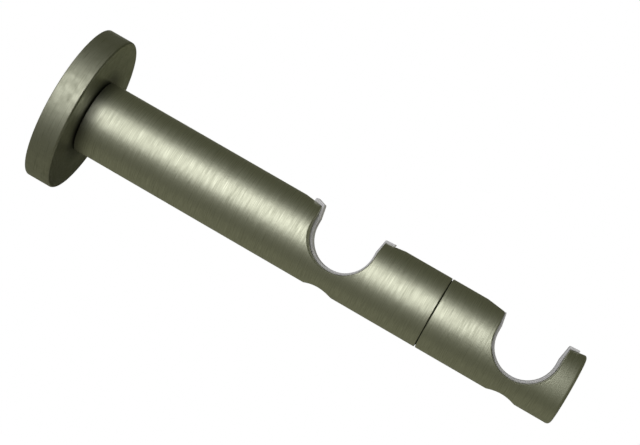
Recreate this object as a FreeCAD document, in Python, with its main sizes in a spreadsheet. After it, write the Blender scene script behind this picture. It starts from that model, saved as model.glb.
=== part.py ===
import FreeCAD, Part
import os
import Sketcher

# Curtain pole bracket for two poles, one in front of the other.
# A turned rosette covers a wall plate. Two round bars stand out from it, end to end, and each
# has a saddle milled through it from above, with a plastic liner in it and a locking screw below.
# The frame: origin at the wall plate's centre, on the wall. +X points out of the wall along the
# bars, the poles lie along Y, and +Z is up. Lengths are in millimetres.

DIMENSIONS = [
    # The bars, measured in a chain out from the wall
    ("bar_diameter", 25.0, "both bars"),
    ("rear_pole_reach", 100.5, "wall to the rear pole"),
    ("rear_tail", 35.7, "rear pole to the joint between the bars"),
    ("front_lead", 31.4, "joint to the front pole"),
    ("nose_length", 17.8, "front pole to the tip"),
    ("tip_round", 1.3, "rounded edge of the tip"),
    ("joint_break", 0.35, "broken edge of the front bar at the joint"),
    ("neck_diameter", 20.0, "the neck that the rear bar stands on"),
    ("neck_show", 0.45, "dark line between the rosette's face and the bar's shoulder"),
    ("seam_gap", 0.3, "dark line between the two bars"),
    ("seam_gap_depth", 1.2, "its depth"),
    # The saddles
    ("pole_diameter", 20.0, "the pole that lies in a saddle"),
    ("pole_clearance", 0.4, "free space round the pole, on the radius"),
    ("rear_seat_height", 6.0, "bar axis up to the centre of the rear slot's round"),
    ("front_seat_height", 5.4, "bar axis up to the centre of the front slot's round"),
    ("slot_flare", 0.35, "how far each side of a slot leans out at its mouth"),
    ("ramp_length", 6.7, "the slope that falls to the mouth of a slot"),
    ("ramp_fall", 0.9, "how much it falls"),
    ("saddle_edge", 0.25, "broken edge where a slot cuts the bar's round"),
    # The plastic liners
    ("liner_side", 0.95, "thickness beside the pole"),
    ("liner_floor", 0.8, "thickness under the pole"),
    ("liner_width", 7.0, "along the pole"),
    ("liner_gap", 0.05, "between liner and metal"),
    ("flare_start", 2.0, "pole's centre up to the start of the flared mouth"),
    ("flare", 0.8, "how far each side of the mouth opens"),
    ("lip_reach", 3.0, "lip that hooks over the bar, from the slot's mouth"),
    ("lip_thickness", 0.8, "thickness of that lip"),
    ("knob_length", 1.2, "raised end of the rear lip"),
    ("knob_height", 0.5, "how far it rises over the lip"),
    ("liner_hole", 5.4, "hole in the floor for the locking screw"),
    # The pole locking screws and their holes under the saddles
    ("counterbore_diameter", 10.5, "counterbore under a saddle"),
    ("counterbore_depth", 2.6, "its depth from the lowest line of the bar"),
    ("lock_screw_diameter", 5.0, "outer diameter of the thread"),
    ("lock_screw_length", 5.0, "whole length"),
    ("lock_screw_drop", 0.5, "screw's end under the liner's floor"),
    ("lock_screw_socket", 2.5, "socket across its flats"),
    ("lock_screw_socket_depth", 2.2, "socket's depth"),
    ("lock_hole_reserve", 2.5, "how far the drill runs past the slot's floor"),
    # The joining stud between the bars
    ("stud_diameter", 8.0, "outer diameter of the thread"),
    ("stud_length", 22.0, "whole length"),
    ("stud_socket", 4.0, "socket across its flats"),
    ("stud_socket_depth", 4.0, "socket's depth"),
    # The rosette
    ("rosette_diameter", 54.0, "outside"),
    ("rosette_thickness", 8.8, "wall to the front face"),
    ("rosette_wall", 3.7, "the rim, on the radius"),
    ("rosette_face", 4.0, "thickness of its front"),
    ("rosette_round", 0.8, "rounded edge of the front face"),
    ("register_depth", 1.2, "the recess that the rear bar's neck stands in"),
    ("register_gap", 0.2, "free space round the neck in it, on the radius"),
    # The wall plate
    ("plate_thickness", 4.5, "the steel disc"),
    ("plate_gap", 0.2, "between disc and rosette, on the radius"),
    ("plate_undercut", 0.9, "how much its rim narrows towards the wall"),
    ("plate_window", 13.0, "hole in the middle, clear of the arm screw's head"),
    ("wall_screw_hole", 5.0, "holes for the wall screws"),
    ("wall_screw_sink", 9.6, "their countersinks"),
    ("wall_screw_spacing", 30.0, "hole to hole"),
    # The screw that holds the rear bar on the rosette, and the grub screw in the rim
    ("arm_screw_diameter", 6.0, "outer diameter of the thread"),
    ("arm_screw_length", 14.0, "under the head"),
    ("arm_screw_head", 10.5, "head diameter"),
    ("arm_screw_head_height", 3.3, "head height"),
    ("arm_screw_head_edge", 1.1, "height of the head's straight edge"),
    ("arm_screw_head_flat", 6.4, "diameter of the flat on its dome"),
    ("arm_screw_socket", 4.0, "socket across its flats"),
    ("arm_screw_socket_depth", 2.0, "socket's depth"),
    ("arm_screw_passage", 6.6, "its clearance hole in the rosette"),
    ("grub_diameter", 4.0, "outer diameter of the thread"),
    ("grub_length", 4.0, "whole length with its point"),
    ("grub_socket", 2.0, "socket across its flats"),
    ("grub_socket_depth", 1.5, "socket's depth"),
    ("grub_flat", 0.3, "flat on its point, on the radius"),
    # Threads are left plain, so each tapped hole is a little wider than its screw
    ("thread_gap", 0.05, "between a screw and its tapped hole, on the radius"),
    ("thread_chamfer", 0.5, "chamfered end of a thread"),
    ("tap_reserve", 1.5, "depth of a blind tapped hole beyond its screw"),
    ("point_gap", 0.05, "between a screw's point and what it presses on"),
]

document = FreeCAD.newDocument("curtain_pole_bracket")
sheet = document.addObject("Spreadsheet::Sheet", "sizes")
sheet.Label = "sizes"
for row, (alias, value, note) in enumerate(DIMENSIONS, start=1):
    sheet.set(f"A{row}", alias)
    sheet.set(f"B{row}", str(value))
    sheet.setAlias(f"B{row}", alias)
    sheet.set(f"C{row}", note)
document.recompute()

# Sizes that follow from the sheet, as expressions that sketches and features share
BAR_R = "(sizes.bar_diameter / 2)"
POLE_R = "(sizes.pole_diameter / 2 + sizes.pole_clearance)"
LINER_R = f"({POLE_R} + sizes.liner_side)"
SLOT_R = f"({LINER_R} + sizes.liner_gap)"
MOUTH_R = f"({SLOT_R} + sizes.slot_flare)"
MOUTH_HEIGHT = f"({BAR_R} - sizes.ramp_fall)"
REAR_SEAT = "sizes.rear_seat_height"
FRONT_SEAT = "sizes.front_seat_height"
REAR_POLE = "sizes.rear_pole_reach"
SEAM = f"({REAR_POLE} + sizes.rear_tail)"
FRONT_POLE = f"({SEAM} + sizes.front_lead)"
TIP = f"({FRONT_POLE} + sizes.nose_length)"
ROSETTE_R = "(sizes.rosette_diameter / 2)"
CAVITY_R = f"({ROSETTE_R} - sizes.rosette_wall)"
CAVITY_DEPTH = "(sizes.rosette_thickness - sizes.rosette_face)"
ARM_START = "(sizes.rosette_thickness - sizes.register_depth)"
NECK_R = "(sizes.neck_diameter / 2)"
SHOULDER = "(sizes.rosette_thickness + sizes.neck_show)"
SEAM_LAND_R = f"({BAR_R} - sizes.seam_gap_depth)"
FRONT_BAR_START = f"({SEAM} + sizes.seam_gap)"
PLATE_R = f"({CAVITY_R} - sizes.plate_gap)"
PLATE_MIDDLE = "(sizes.plate_thickness / 2)"

# Angles of the countersinks, half a drill's point, and half a hexagon's side seen from its middle
COUNTERSINK_ANGLE = 90
DRILL_SLOPE = "tan(59 deg)"
HEX_SLOPE = "tan(30 deg)"


def number(expression):
    """The value of an expression, for the first position of a sketch's point."""
    value = sheet.evalExpression(str(expression))
    return float(getattr(value, "Value", value))


def seat_floor(seat_height):
    """Height of the lowest line of a slot, from the bar's axis."""
    return f"({seat_height} - {SLOT_R})"


def pole_height(seat_height):
    """Height of the pole's centre: the liner lies on the slot's floor."""
    return f"({seat_floor(seat_height)} + sizes.liner_gap + sizes.liner_floor + {POLE_R})"


def new_body(label):
    """A sub-part, whose label names its file."""
    body = document.addObject("PartDesign::Body", label)
    body.Label = label
    return body


def plane_of(body, role):
    """One of the body's own origin planes."""
    return next(item for item in body.Origin.OriginFeatures if item.Role == role)


def new_sketch(body, name, role, offset="0"):
    """A sketch on an origin plane of its own body, moved along the plane's normal."""
    sketch = body.newObject("Sketcher::SketchObject", name)
    sketch.AttachmentSupport = (plane_of(body, role), [""])
    sketch.MapMode = "FlatFace"
    if offset != "0":
        sketch.setExpression("AttachmentOffset.Base.z", offset)
    return sketch


def pin_point(sketch, geometry, position, along_x, along_y):
    """Holds a point at two expressions from the origin; None leaves that direction free."""
    for kind, expression, axis in (("DistanceX", along_x, -2), ("DistanceY", along_y, -1)):
        if expression is None:
            continue
        if expression == "0":
            sketch.addConstraint(Sketcher.Constraint("PointOnObject", geometry, position, axis))
            continue
        index = sketch.addConstraint(
            Sketcher.Constraint(kind, -1, 1, geometry, position, number(expression)))
        sketch.setExpression(f"Constraints[{index}]", expression)


def vector(along_x, along_y):
    return FreeCAD.Vector(number(along_x), number(along_y), 0)


def draw_circle(sketch, along_x, along_y, diameter):
    """A circle with its centre and its diameter held by expressions."""
    circle = Part.Circle(vector(along_x, along_y), FreeCAD.Vector(0, 0, 1), number(diameter) / 2)
    geometry = sketch.addGeometry(circle, False)
    pin_point(sketch, geometry, 3, along_x, along_y)
    index = sketch.addConstraint(Sketcher.Constraint("Diameter", geometry, number(diameter)))
    sketch.setExpression(f"Constraints[{index}]", diameter)


def draw_outline(sketch, corners):
    """A closed outline. A corner is (x, y), or (x, y, centre x, centre y, turn) where an arc
    about that centre leads on to the next corner, with turn +1 for anticlockwise."""
    count = len(corners)
    lines = []
    arc_before = [len(corners[index - 1]) > 2 for index in range(count)]
    for index, corner in enumerate(corners):
        start = vector(corner[0], corner[1])
        end = vector(*corners[(index + 1) % count][:2])
        if len(corner) == 2:
            geometry = sketch.addGeometry(Part.LineSegment(start, end), False)
            lines.append((geometry, 1, 2))
            continue
        centre = vector(corner[2], corner[3])
        circle = Part.Circle(centre, FreeCAD.Vector(0, 0, 1), (start - centre).Length)
        if corner[4] > 0:
            arc = Part.ArcOfCircle(circle, circle.parameter(start), circle.parameter(end))
            ends = (1, 2)
        else:
            arc = Part.ArcOfCircle(circle, circle.parameter(end), circle.parameter(start))
            ends = (2, 1)
        geometry = sketch.addGeometry(arc, False)
        lines.append((geometry, *ends))
    for index in range(count):
        geometry, start_position, _ = lines[index]
        before, _, end_position = lines[index - 1]
        sketch.addConstraint(
            Sketcher.Constraint("Coincident", before, end_position, geometry, start_position))
    for index, corner in enumerate(corners):
        geometry, start_position, _ = lines[index]
        along_x, along_y = corner[:2]
        if arc_before[index]:
            # The arc's radius already holds this corner one way
            before = corners[index - 1]
            spoke = vector(along_x, along_y) - vector(before[2], before[3])
            if abs(spoke.x) > abs(spoke.y):
                along_x = None
            else:
                along_y = None
        pin_point(sketch, geometry, start_position, along_x, along_y)
        if len(corner) > 2:
            pin_point(sketch, geometry, 3, corner[2], corner[3])


def turn_solid(body, name, corners):
    """A turned solid: the outline, x along the axis and y the radius, spun about X."""
    sketch = new_sketch(body, name + "_outline", "XZ_Plane")
    draw_outline(sketch, corners)
    turned = body.newObject("PartDesign::Revolution", name)
    turned.Profile = sketch
    turned.ReferenceAxis = (sketch, ["H_Axis"])
    turned.Angle = 360
    document.recompute()
    return turned


def cut_through(body, name, draw, role, offset="0", length=None, reverse=False):
    """A pocket that draw() outlines: through all both ways, or to a length one way."""
    before = body.Shape.Volume
    sketch = new_sketch(body, name + "_outline", role, offset)
    draw(sketch)
    pocket = body.newObject("PartDesign::Pocket", name)
    pocket.Profile = sketch
    if length is None:
        pocket.Type = "ThroughAll"
        pocket.SideType = "Symmetric"
    else:
        pocket.Type = "Length"
        pocket.setExpression("Length", length)
        pocket.Reversed = reverse
    document.recompute()
    if not body.Shape.Volume < before:
        raise RuntimeError(f"{body.Label}: {name} removed nothing")
    return pocket


def drill(body, name, centres, role, offset, reverse, sizes):
    """Round holes with or without a counterbore or countersink. sizes holds the expressions."""
    before = body.Shape.Volume
    sketch = new_sketch(body, name + "_centres", role, offset)
    for along_x, along_y in centres:
        draw_circle(sketch, along_x, along_y, sizes["Diameter"])
    document.recompute()
    hole = body.newObject("PartDesign::Hole", name)
    hole.Profile = sketch
    hole.ThreadType = "None"
    hole.Reversed = reverse
    if "HoleCutDepth" in sizes:
        hole.HoleCutType = "Counterbore"
    elif "HoleCutDiameter" in sizes:
        hole.HoleCutType = "Countersink"
        hole.HoleCutCountersinkAngle = COUNTERSINK_ANGLE
    hole.DepthType = "Dimension"
    hole.DrillPoint = "Flat"
    document.recompute()
    for key, expression in sizes.items():
        hole.setExpression(key, expression)
    document.recompute()
    if not body.Shape.Volume < before:
        raise RuntimeError(f"{body.Label}: {name} removed nothing")
    return hole


def draw_hexagon(across_flats):
    """Returns a function that draws a hexagon about the sketch's origin, flats up and down."""
    flat = f"({across_flats} / 2)"
    half_side = f"({flat} * {HEX_SLOPE})"
    tip = f"(2 * {half_side})"
    corners = [
        (tip, "0"),
        (half_side, flat),
        (f"-{half_side}", flat),
        (f"-{tip}", "0"),
        (f"-{half_side}", f"-{flat}"),
        (half_side, f"-{flat}"),
    ]
    return lambda sketch: draw_outline(sketch, corners)


# Wall plate
# A steel disc screwed to the wall. Its rim narrows towards the wall, so the rosette's grub screw
# pulls the rosette back as it tightens. Its window clears the head of the arm screw.
wall_plate = new_body("wall_plate")
turn_solid(wall_plate, "plate_disc", [
    ("0", "(sizes.plate_window / 2)"),
    ("sizes.plate_thickness", "(sizes.plate_window / 2)"),
    ("sizes.plate_thickness", PLATE_R),
    ("0", f"({PLATE_R} - sizes.plate_undercut)"),
])
drill(wall_plate, "wall_screw_holes",
      [("0", "(sizes.wall_screw_spacing / 2)"), ("0", "-(sizes.wall_screw_spacing / 2)")],
      "YZ_Plane", "sizes.plate_thickness", False,
      {"Diameter": "sizes.wall_screw_hole",
       "HoleCutDiameter": "sizes.wall_screw_sink",
       "Depth": "sizes.plate_thickness"})


def turned_round(face, radius, size, flats):
    """Corners of a rounded edge as it is turned, in a few small flats, from the face at the high
    end of x to the outer diameter."""
    corners = []
    for step in range(flats + 1):
        angle = 90 * step / flats
        corners.append((f"({face} - {size} + {size} * cos({angle} deg))",
                        f"({radius} - {size} + {size} * sin({angle} deg))"))
    return corners


# Rosette
# A turned cup over the wall plate. Its front face has a shallow recess for the rear bar's neck,
# and its rim has one tapped hole underneath for the grub screw.
rosette = new_body("rosette")
REGISTER_R = f"({NECK_R} + sizes.register_gap)"
turn_solid(rosette, "rosette_cup", [
    ("0", CAVITY_R),
    (CAVITY_DEPTH, CAVITY_R),
    (CAVITY_DEPTH, "(sizes.arm_screw_passage / 2)"),
    (ARM_START, "(sizes.arm_screw_passage / 2)"),
    (ARM_START, REGISTER_R),
    ("sizes.rosette_thickness", REGISTER_R),
    *turned_round("sizes.rosette_thickness", ROSETTE_R, "sizes.rosette_round", 2),
    ("0", ROSETTE_R),
])
drill(rosette, "grub_hole", [(PLATE_MIDDLE, "0")], "XY_Plane", f"-{ROSETTE_R}", True,
      {"Diameter": "(sizes.grub_diameter + 2 * sizes.thread_gap)",
       "Depth": "(sizes.rosette_wall + sizes.plate_gap)"})


def bar_end_bore(screw, face, into, depth):
    """Corners of a blind tapped hole with a drilled point, from its mouth to its tip. into is +1
    for a hole that runs along +X and -1 for one that runs along -X."""
    sign = "+" if into > 0 else "-"
    bore_r = f"({screw} / 2 + sizes.thread_gap)"
    return [
        (face, bore_r),
        (f"({face} {sign} ({depth}))", bore_r),
        (f"({face} {sign} ({depth}) {sign} {bore_r} / {DRILL_SLOPE})", "0"),
    ]


def saddle(body, prefix, reach, seat_height):
    """Mills a slot with a round floor and sides that lean out to its mouth, breaks its edge,
    slopes the crest down to both sides of the mouth, and drills the stepped hole of the locking
    screw from below."""
    above = "sizes.bar_diameter"
    left = f"({reach} - {SLOT_R})"
    right = f"({reach} + {SLOT_R})"
    mouth_left = f"({reach} - {MOUTH_R})"
    mouth_right = f"({reach} + {MOUTH_R})"
    lean_start = f"({pole_height(seat_height)} + sizes.flare_start)"

    def draw_slot(sketch):
        draw_outline(sketch, [
            (mouth_left, above),
            (mouth_left, MOUTH_HEIGHT),
            (left, lean_start),
            (left, seat_height, reach, seat_height, 1),
            (right, seat_height),
            (right, lean_start),
            (mouth_right, MOUTH_HEIGHT),
            (mouth_right, above),
        ])

    def draw_ramps(sketch):
        middle_left = f"({reach} - {SLOT_R} / 2)"
        middle_right = f"({reach} + {SLOT_R} / 2)"
        draw_outline(sketch, [
            (f"({mouth_left} - sizes.ramp_length)", above),
            (f"({mouth_left} - sizes.ramp_length)", BAR_R),
            (mouth_left, MOUTH_HEIGHT),
            (middle_left, MOUTH_HEIGHT),
            (middle_left, above),
        ])
        draw_outline(sketch, [
            (middle_right, above),
            (middle_right, MOUTH_HEIGHT),
            (mouth_right, MOUTH_HEIGHT),
            (f"({mouth_right} + sizes.ramp_length)", BAR_R),
            (f"({mouth_right} + sizes.ramp_length)", above),
        ])

    cut_through(body, prefix + "_slot", draw_slot, "XZ_Plane")
    break_slot_edge(body, prefix, reach)
    cut_through(body, prefix + "_ramps", draw_ramps, "XZ_Plane")
    drill(body, prefix + "_lock_hole", [(reach, "0")], "XY_Plane", f"-{BAR_R}", True,
          {"Diameter": "(sizes.lock_screw_diameter + 2 * sizes.thread_gap)",
           "HoleCutDiameter": "sizes.counterbore_diameter",
           "HoleCutDepth": "sizes.counterbore_depth",
           "Depth": f"({BAR_R} + {seat_floor(seat_height)} + sizes.lock_hole_reserve)"})


def break_slot_edge(body, prefix, reach):
    """Chamfers the closed edge where the slot cuts the round of the bar."""
    middle = number(reach)
    half = number(MOUTH_R)
    radius = number(BAR_R)
    names = []
    for index, edge in enumerate(body.Shape.Edges, start=1):
        if edge.Degenerated:
            continue
        points = edge.discretize(5)
        on_bar = all(abs((p.y ** 2 + p.z ** 2) ** 0.5 - radius) < 1e-3 for p in points)
        in_slot = all(abs(p.x - middle) < half + 1e-3 and p.z > -radius / 2 for p in points)
        if on_bar and in_slot:
            names.append(f"Edge{index}")
    before = body.Shape.Volume
    milled = body.Tip
    chamfer = body.newObject("PartDesign::Chamfer", prefix + "_slot_edge")
    chamfer.Base = (milled, names)
    chamfer.setExpression("Size", "sizes.saddle_edge")
    document.recompute()
    if not names or not body.Shape.Volume < before:
        raise RuntimeError(f"{body.Label}: the slot's edge was not broken")


# Rear bar
# Its neck stands in the rosette's recess, with a dark line of it showing, and the bar runs to the
# joint with a tapped hole in each end.
rear_arm = new_body("rear_arm")
ARM_BORE_DEPTH = "(sizes.arm_screw_length - (sizes.rosette_face - sizes.register_depth)" \
                 " + sizes.tap_reserve)"
STUD_BORE_DEPTH = "(sizes.stud_length / 2 + sizes.tap_reserve)"
REAR_CORNERS = bar_end_bore("sizes.arm_screw_diameter", ARM_START, 1, ARM_BORE_DEPTH)
JOINT_CORNERS = bar_end_bore("sizes.stud_diameter", SEAM, -1, STUD_BORE_DEPTH)
turn_solid(rear_arm, "rear_bar", [
    *REAR_CORNERS,
    *reversed(JOINT_CORNERS),
    (SEAM, BAR_R),
    (SHOULDER, BAR_R),
    (SHOULDER, NECK_R),
    (ARM_START, NECK_R),
])
saddle(rear_arm, "rear", REAR_POLE, REAR_SEAT)

# Front bar
# It screws on to the joining stud until its land meets the rear bar, which leaves a dark line
# round the joint, and it ends in a rounded tip.
front_arm = new_body("front_arm")
turn_solid(front_arm, "front_bar", [
    *bar_end_bore("sizes.stud_diameter", SEAM, 1, STUD_BORE_DEPTH),
    (TIP, "0"),
    *turned_round(TIP, BAR_R, "sizes.tip_round", 2),
    (f"({FRONT_BAR_START} + sizes.joint_break)", BAR_R),
    (FRONT_BAR_START, f"({BAR_R} - sizes.joint_break)"),
    (FRONT_BAR_START, SEAM_LAND_R),
    (SEAM, SEAM_LAND_R),
])
saddle(front_arm, "front", FRONT_POLE, FRONT_SEAT)


def liner(label, reach, seat_height, rear_lip):
    """A plastic strip bent round the pole's bed, drawn with the pole's axis at the origin. It is
    a little thicker beside the pole than under it, its mouth is flared, its back leans out with
    the slot, and a lip hooks over the bar's slope on the front side. A rear lip ends in a small
    raised knob; without it that side of the liner stops level with the bar."""
    body = new_body(label)
    height = pole_height(seat_height)
    body.setExpression("Placement.Base.x", reach)
    body.setExpression("Placement.Base.z", height)
    rise = "(sizes.liner_side - sizes.liner_floor)"
    mouth = f"({POLE_R} + sizes.flare)"
    back = f"({LINER_R} + sizes.slot_flare)"
    half = "(sizes.lip_thickness / 2)"
    low = f"({MOUTH_HEIGHT} + sizes.liner_gap - {height})"
    end = f"({MOUTH_R} + sizes.lip_reach - {half})"
    end_low = f"({low} + sizes.ramp_fall * (sizes.lip_reach - {half}) / sizes.ramp_length)"
    end_middle = f"({end_low} + {half})"
    end_top = f"({end_low} + sizes.lip_thickness)"
    top = f"({low} + sizes.lip_thickness)"
    tip = f"({MOUTH_R} + sizes.lip_reach)"
    tip_low = f"({low} + sizes.ramp_fall * sizes.lip_reach / sizes.ramp_length)"
    knob_start = f"({tip} - sizes.knob_length)"
    knob_foot = f"({tip_low} + sizes.lip_thickness)"
    knob_top = f"({knob_foot} + sizes.knob_height)"
    bevel = "(sizes.knob_height / 2)"

    if rear_lip:
        rear_end = [
            (f"-{mouth}", top),
            (f"-{knob_start}", knob_foot),
            (f"(-{knob_start} - {bevel})", knob_top),
            (f"(-{tip} + {bevel})", knob_top),
            (f"-{tip}", f"({knob_top} - {bevel})"),
            (f"-{tip}", tip_low),
            (f"-{back}", low),
        ]
    else:
        rear_end = [(f"-{mouth}", low), (f"-{back}", low)]

    def draw_strip(sketch):
        draw_outline(sketch, [
            *rear_end,
            (f"-{LINER_R}", "sizes.flare_start"),
            (f"-{LINER_R}", rise, "0", rise, 1),
            (LINER_R, rise),
            (LINER_R, "sizes.flare_start"),
            (back, low),
            (end, end_low, end, end_middle, 1),
            (end, end_top),
            (mouth, top),
            (POLE_R, "sizes.flare_start"),
            (POLE_R, "0", "0", "0", -1),
            (f"-{POLE_R}", "0"),
            (f"-{POLE_R}", "sizes.flare_start"),
        ])

    sketch = new_sketch(body, label + "_section", "XZ_Plane")
    draw_strip(sketch)
    pad = body.newObject("PartDesign::Pad", label + "_strip")
    pad.Profile = sketch
    pad.setExpression("Length", "sizes.liner_width")
    pad.SideType = "Symmetric"
    document.recompute()
    cut_through(body, label + "_hole",
                lambda hole_sketch: draw_circle(hole_sketch, "0", "0", "sizes.liner_hole"),
                "XY_Plane", length=f"({POLE_R} + 2 * sizes.liner_floor)")
    return body


rear_liner = liner("rear_liner", REAR_POLE, REAR_SEAT, True)
front_liner = liner("front_liner", FRONT_POLE, FRONT_SEAT, False)


def set_screw(label, size, point):
    """A headless screw along X from the origin, with a hexagon socket in its near end. The far
    end narrows over the length of its point. size is what its lines in the sheet start with."""
    body = new_body(label)
    length = f"{size}_length"
    radius = f"({size}_diameter / 2)"
    turn_solid(body, label + "_blank", [
        ("0", "0"),
        (length, "0"),
        (length, f"({radius} - {point})"),
        (f"({length} - {point})", radius),
        ("sizes.thread_chamfer", radius),
        ("0", f"({radius} - sizes.thread_chamfer)"),
    ])
    cut_through(body, label + "_socket", draw_hexagon(f"{size}_socket"), "YZ_Plane",
                length=f"{size}_socket_depth", reverse=True)
    return body


def place(body, along_x, along_y, along_z, turn):
    """Binds a body's position to expressions and turns it about Y, in degrees."""
    body.Placement.Rotation = FreeCAD.Rotation(FreeCAD.Vector(0, 1, 0), turn)
    for axis, expression in (("x", along_x), ("y", along_y), ("z", along_z)):
        if expression != "0":
            body.setExpression(f"Placement.Base.{axis}", expression)


# Screws
# The two pole locking screws point up and stop in the holes of the liners' floors. The joining
# stud sits half in each bar, and the grub screw's point stands on the wall plate's rim.
for end_name, reach_value, seat_value in (
        ("rear", REAR_POLE, REAR_SEAT),
        ("front", FRONT_POLE, FRONT_SEAT)):
    lock_screw = set_screw(end_name + "_lock_screw", "sizes.lock_screw", "sizes.thread_chamfer")
    screw_top = f"({pole_height(seat_value)} - {POLE_R} - sizes.lock_screw_drop)"
    place(lock_screw, reach_value, "0", f"({screw_top} - sizes.lock_screw_length)", -90)

joining_stud = set_screw("joining_stud", "sizes.stud", "sizes.thread_chamfer")
place(joining_stud, f"({SEAM} - sizes.stud_length / 2)", "0", "0", 0)

GRUB_POINT = "(sizes.grub_diameter / 2 - sizes.grub_flat)"
RIM_SLOPE = "(sizes.plate_undercut / sizes.plate_thickness)"
GRUB_TIP_R = f"({PLATE_R} - {RIM_SLOPE} * ({PLATE_MIDDLE} - sizes.grub_flat) + sizes.point_gap)"
rosette_grub = set_screw("rosette_grub_screw", "sizes.grub", GRUB_POINT)
place(rosette_grub, PLATE_MIDDLE, "0",
      f"(-({GRUB_TIP_R} + sizes.grub_length))", -90)

# Arm screw
# A button-headed screw through the rosette's front from behind, which pulls the rear bar into
# its recess.
arm_screw = new_body("arm_screw")
HEAD_R = "(sizes.arm_screw_head / 2)"
SHANK_R = "(sizes.arm_screw_diameter / 2)"
HEAD_BACK = f"({CAVITY_DEPTH} - sizes.arm_screw_head_height)"
HEAD_EDGE = f"({CAVITY_DEPTH} - sizes.arm_screw_head_edge)"
SHANK_END = f"({CAVITY_DEPTH} + sizes.arm_screw_length)"
turn_solid(arm_screw, "screw_blank", [
    (HEAD_BACK, "0"),
    (SHANK_END, "0"),
    (SHANK_END, f"({SHANK_R} - sizes.thread_chamfer)"),
    (f"({SHANK_END} - sizes.thread_chamfer)", SHANK_R),
    (CAVITY_DEPTH, SHANK_R),
    (CAVITY_DEPTH, HEAD_R),
    (HEAD_EDGE, HEAD_R),
    (HEAD_BACK, "(sizes.arm_screw_head_flat / 2)"),
])
cut_through(arm_screw, "screw_socket", draw_hexagon("sizes.arm_screw_socket"), "YZ_Plane",
            offset=HEAD_BACK, length="sizes.arm_screw_socket_depth", reverse=True)

# Check the whole document, then write one file for each sub-part
document.recompute()
for item in document.Objects:
    if "Invalid" in item.State or "Error" in item.State:
        raise RuntimeError(f"{item.Name} failed: {item.State}")

bodies = [item for item in document.Objects if item.TypeId == "PartDesign::Body"]
os.makedirs("parts", exist_ok=True)
for body in bodies:
    shape = body.Shape
    if shape.isNull() or not shape.isValid() or len(shape.Solids) != 1:
        raise RuntimeError(f"{body.Label} is not one valid solid")
    print(f"{body.Label}: {shape.Volume:.1f} mm3")
for body in bodies:
    body.Shape.exportStep(os.path.join("parts", body.Label + ".step"))
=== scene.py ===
# %% [markdown]
# # A curtain pole bracket for two poles
# The real object is turned and milled from metal bar, with a satin brushed finish of a warm,
# slightly olive grey. A round rosette stands on the wall, a long bar runs out of it to a joint,
# and a short bar goes on to a rounded tip. Each bar has a saddle with a plastic liner in it.
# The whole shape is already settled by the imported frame, so this lesson is about looks:
# finishes that follow the way each piece was made, and soft light that shows them.

# %% Load the frame
import math

import bmesh
import bpy
from mathutils import Matrix, Quaternion, Vector


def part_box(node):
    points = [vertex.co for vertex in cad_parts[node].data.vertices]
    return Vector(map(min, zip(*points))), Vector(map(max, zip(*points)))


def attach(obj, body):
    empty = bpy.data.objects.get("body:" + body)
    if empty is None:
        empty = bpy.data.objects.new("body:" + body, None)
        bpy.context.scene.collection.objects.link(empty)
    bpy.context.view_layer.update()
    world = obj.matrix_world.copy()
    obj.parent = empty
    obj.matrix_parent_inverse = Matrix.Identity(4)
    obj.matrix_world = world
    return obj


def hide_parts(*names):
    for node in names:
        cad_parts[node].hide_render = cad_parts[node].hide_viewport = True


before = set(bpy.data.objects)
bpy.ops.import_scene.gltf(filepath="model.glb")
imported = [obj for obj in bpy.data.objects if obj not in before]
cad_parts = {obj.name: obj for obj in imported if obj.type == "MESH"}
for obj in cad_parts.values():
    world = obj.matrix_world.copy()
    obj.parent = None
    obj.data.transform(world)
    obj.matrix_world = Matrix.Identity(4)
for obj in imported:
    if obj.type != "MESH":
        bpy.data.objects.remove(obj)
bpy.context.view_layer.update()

MM = 0.001
print("CAD nodes:", ", ".join(sorted(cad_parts)))

# %% [markdown]
# ## The camera
# The photograph was taken almost level and from a little to the front bar's side, with a long
# lens and the camera rolled, so that the bar falls towards the lower right. A camera can be
# placed by hand or by a few plain values: the point it looks at, its distance, its two angles
# and its roll. The values are easier to check against the photograph, so they are used here.

# %% Camera
AIM = Vector((90.37, 0.0, 6.82)) * MM
CAMERA_DISTANCE = 610.0 * MM
CAMERA_AZIMUTH = math.radians(5.575)
CAMERA_ELEVATION = math.radians(0.852)
CAMERA_ROLL = math.radians(29.90)
CAMERA_LENS = 106.88

towards_camera = Vector((
    math.sin(CAMERA_AZIMUTH) * math.cos(CAMERA_ELEVATION),
    -math.cos(CAMERA_AZIMUTH) * math.cos(CAMERA_ELEVATION),
    math.sin(CAMERA_ELEVATION)))
camera_data = bpy.data.cameras.new("camera")
camera_data.lens = CAMERA_LENS
camera_data.sensor_width = 36.0
camera_data.sensor_fit = "HORIZONTAL"
camera = bpy.data.objects.new("camera", camera_data)
bpy.context.scene.collection.objects.link(camera)
camera.location = AIM + towards_camera * CAMERA_DISTANCE
camera.rotation_mode = "QUATERNION"
level = (-towards_camera).to_track_quat("-Z", "Y")
camera.rotation_quaternion = level @ Quaternion((0.0, 0.0, 1.0), CAMERA_ROLL)
bpy.context.scene.camera = camera
print("camera at, mm:", [round(value / MM) for value in camera.location])

# %% [markdown]
# ## Helpers for node materials
# Every finish below is a small node tree. A few helpers keep the trees readable: some add one
# node with its settings and inputs, others make a node group with named sockets or place it.

# %% Node helpers
def add_node(tree, kind, inputs=None, **settings):
    """Adds a node. An input is a number, a colour or the output socket of another node."""
    node = tree.nodes.new(kind)
    for name, value in settings.items():
        setattr(node, name, value)
    for name, value in (inputs or {}).items():
        if isinstance(value, bpy.types.NodeSocket):
            tree.links.new(value, node.inputs[name])
        else:
            node.inputs[name].default_value = value
    return node


def maths(tree, operation, first, second=0.0, clamp=False):
    """Adds a Math node and returns its output."""
    node = add_node(tree, "ShaderNodeMath", {0: first, 1: second},
                    operation=operation, use_clamp=clamp)
    return node.outputs[0]


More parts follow.
